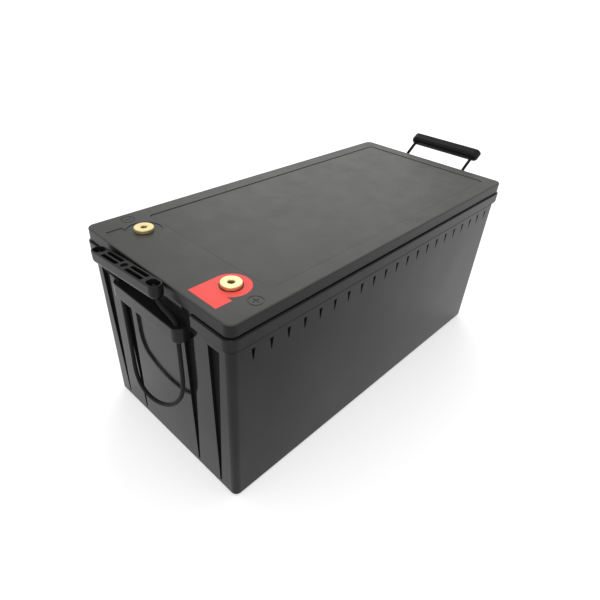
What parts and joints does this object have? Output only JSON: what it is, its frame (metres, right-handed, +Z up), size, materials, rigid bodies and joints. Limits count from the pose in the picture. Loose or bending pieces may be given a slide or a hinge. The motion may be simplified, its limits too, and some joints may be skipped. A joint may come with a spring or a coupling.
{
  "type": "deep cycle battery",
  "caption": "Deep cycle battery in a black moulded case with a flat glued lid, threaded brass terminals, packed cells inside and a rope handle at each end.",
  "frame": {"origin": "centre of the case's flat base, on the surface that it stands on", "axes": "+X along the case from the end with the terminals to the other end, +Y across it towards the negative terminal, +Z up"},
  "size_m": [0.5896, 0.25, 0.2651],
  "materials": {
    "case_plastic": "black moulded plastic, glossy",
    "lid_plastic": "black moulded plastic, satin",
    "seal_rubber": "black rubber",
    "marker_red": "red, satin",
    "terminal_brass": "pale machined brass",
    "nut_steel": "zinc plated",
    "handle_plastic": "black moulded plastic, worn satin",
    "rope_fibre": "black braided cord",
    "cell_wrap": "blue film over an aluminium can",
    "spacer_board": "insulating board",
    "end_plate_aluminium": "mill finish",
    "strap_steel": "plain steel band",
    "busbar_copper": "copper, bare",
    "bracket_paint": "black paint",
    "bms_aluminium": "anodised, dark grey",
    "module_plastic": "black plastic",
    "lug_tin": "tin plated copper",
    "lead_red": "red silicone insulation",
    "lead_black": "black silicone insulation",
    "ribbon_plastic": "flat cable",
    "packing_foam": "closed-cell foam"
  },
  "bodies": {
    "case": {"balance_ribbon": "ribbon_plastic", "base_foam": "packing_foam", "bms": "bms_aluminium", "bms_bracket": "bracket_paint", "bms_screws": "nut_steel", "case_tub": "case_plastic", "cell_1": "cell_wrap", "cell_2": "cell_wrap", "cell_3": "cell_wrap", "cell_4": "cell_wrap", "cell_spacer_1": "spacer_board", "cell_spacer_2": "spacer_board", "cell_spacer_3": "spacer_board", "far_end_foam": "packing_foam", "far_end_plate": "end_plate_aluminium", "far_rope_loop": "rope_fibre", "lead_lugs": "lug_tin", "left_side_foam": "packing_foam", "lid": "lid_plastic", "lid_seal": "seal_rubber", "lower_strap": "strap_steel", "near_end_foam": "packing_foam", "near_end_plate": "end_plate_aluminium", "near_rope_loop": "rope_fibre", "negative_terminal": "terminal_brass", "output_negative_lead": "lead_black", "pack_negative_lead": "lead_black", "positive_lead": "lead_red", "positive_marker": "marker_red", "positive_terminal": "terminal_brass", "right_side_foam": "packing_foam", "series_busbar_1": "busbar_copper", "series_busbar_2": "busbar_copper", "series_busbar_3": "busbar_copper", "stud_nuts": "nut_steel", "terminal_nuts": "nut_steel", "terminal_seals": "seal_rubber", "top_foam": "packing_foam", "upper_strap": "strap_steel", "wireless_module": "module_plastic"},
    "near_handle": {"near_grip": "handle_plastic", "near_knots": "rope_fibre", "near_rope_ends": "rope_fibre"},
    "far_handle": {"far_grip": "handle_plastic", "far_knots": "rope_fibre", "far_rope_ends": "rope_fibre"}
  },
  "joints": [
    {"name": "near_handle_lift", "type": "slide", "parent": "case", "child": "near_handle", "axis": [0, 0, 1], "range_m": [0, 0.075], "deforming": ["near_rope_loop"]},
    {"name": "far_handle_swing", "type": "hinge", "parent": "case", "child": "far_handle", "pos_m": [0.2645, 0, 0.2086], "axis": [0, 1, 0], "range_deg": [-16, 60], "deforming": ["far_rope_ends"]}
  ]
}
